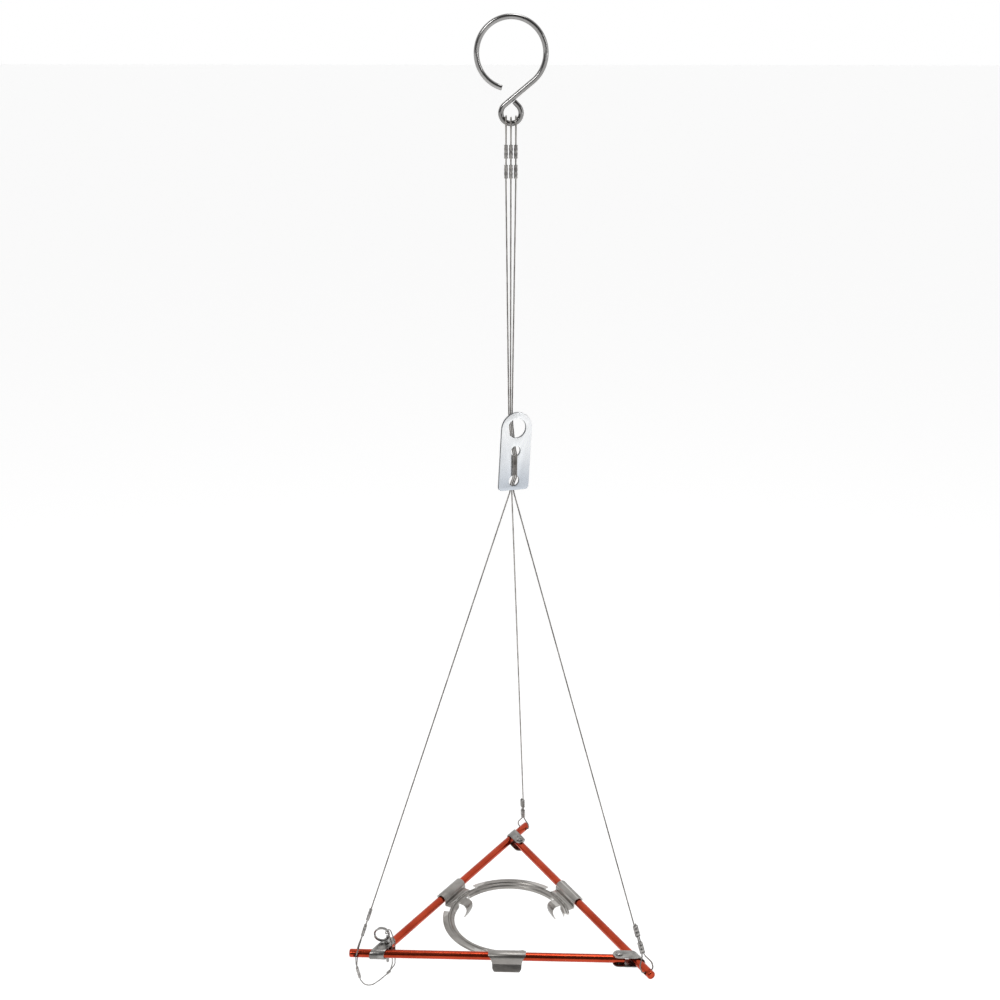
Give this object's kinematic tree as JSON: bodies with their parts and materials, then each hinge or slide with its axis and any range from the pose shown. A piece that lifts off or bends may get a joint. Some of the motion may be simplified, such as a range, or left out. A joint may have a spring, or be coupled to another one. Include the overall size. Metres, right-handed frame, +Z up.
{
  "type": "camp stove suspension kit",
  "caption": "Hanging cradle for a camp burner: a folding triangle of anodised rods on wire ropes below an open ring hook, with a sprung ring cradle, slide adjuster and release pin.",
  "frame": {"origin": "inside top of the ring hook, the point it hangs from", "axes": "+Z up along the hanging line, +X along the front rod to its riveted end, -Y towards the front rod"},
  "size_m": [0.2191, 0.1995, 0.6729],
  "materials": {
    "hook_steel": "polished stainless wire",
    "rod_red": "red-orange anodised, satin",
    "strap_steel": "brushed sheet",
    "rivet_steel": "formed heads",
    "pin_steel": "drawn steel",
    "cradle_steel": "satin spring steel sheet",
    "plate_aluminium": "satin with bright chamfered edge",
    "rope_steel": "stranded wire rope",
    "ferrule_aluminium": "pressed ferrules"
  },
  "bodies": {
    "hook": {"hook": "hook_steel"},
    "hanger": {"rope_left": "rope_steel", "rope_back": "rope_steel", "rope_right": "rope_steel", "ferrule_left_upper_a": "ferrule_aluminium", "ferrule_left_upper_b": "ferrule_aluminium", "ferrule_back_upper_a": "ferrule_aluminium", "ferrule_back_upper_b": "ferrule_aluminium", "ferrule_right_upper_a": "ferrule_aluminium", "ferrule_right_upper_b": "ferrule_aluminium", "ferrule_right_lower_a": "ferrule_aluminium", "ferrule_right_lower_b": "ferrule_aluminium", "right_rod": "rod_red", "right_strap": "strap_steel", "right_rivet": "rivet_steel", "back_rivet": "rivet_steel"},
    "adjuster": {"adjuster_plate": "plate_aluminium"},
    "front": {"front_rod": "rod_red", "left_strap": "strap_steel", "ferrule_left_lower_a": "ferrule_aluminium", "ferrule_left_lower_b": "ferrule_aluminium", "lanyard": "rope_steel", "lanyard_ferrule": "ferrule_aluminium", "lanyard_crimp": "ferrule_aluminium"},
    "left": {"left_rod": "rod_red", "back_strap": "strap_steel", "ferrule_back_lower_a": "ferrule_aluminium", "ferrule_back_lower_b": "ferrule_aluminium"},
    "pin": {"release_pin": "pin_steel"},
    "pull_ring": {"split_ring": "pin_steel"},
    "cradle": {"cradle_ring": "cradle_steel", "front_clip": "cradle_steel", "front_finger": "cradle_steel", "left_clip": "cradle_steel", "left_finger": "cradle_steel", "right_clip": "cradle_steel", "right_finger": "cradle_steel"}
  },
  "joints": [
    {"name": "hook_swing", "type": "hinge", "parent": "hook", "child": "hanger", "pos_m": [0, 0, -0.06216], "axis": [1, 0, 0], "range_deg": [-60, 60]},
    {"name": "adjuster_slide", "type": "slide", "parent": "hanger", "child": "adjuster", "axis": [0, 0, 1], "range_m": [-0.05, 0.14], "deforming": ["rope_left", "rope_back", "rope_right"]},
    {"name": "front_rod_swing", "type": "hinge", "parent": "hanger", "child": "front", "pos_m": [0.0805, -0.05312, -0.641], "axis": [0, 0, 1], "range_deg": [0, 15], "deforming": ["front_clip"]},
    {"name": "left_rod_swing", "type": "hinge", "parent": "hanger", "child": "left", "pos_m": [0.00575, 0.09627, -0.641], "axis": [0, 0, 1], "range_deg": [-100, 0], "deforming": ["left_clip"]},
    {"name": "pin_pull", "type": "slide", "parent": "front", "child": "pin", "axis": [0, 0, 1], "range_m": [0, 0.02], "deforming": ["lanyard"]},
    {"name": "pull_ring_swing", "type": "hinge", "parent": "pin", "child": "pull_ring", "pos_m": [-0.0875, -0.04532, -0.6338], "axis": [1, 0, 0], "range_deg": [-85, 85]},
    {"name": "cradle_lift", "type": "slide", "parent": "hanger", "child": "cradle", "axis": [0, 0, 1], "range_m": [0, 0.09]}
  ]
}
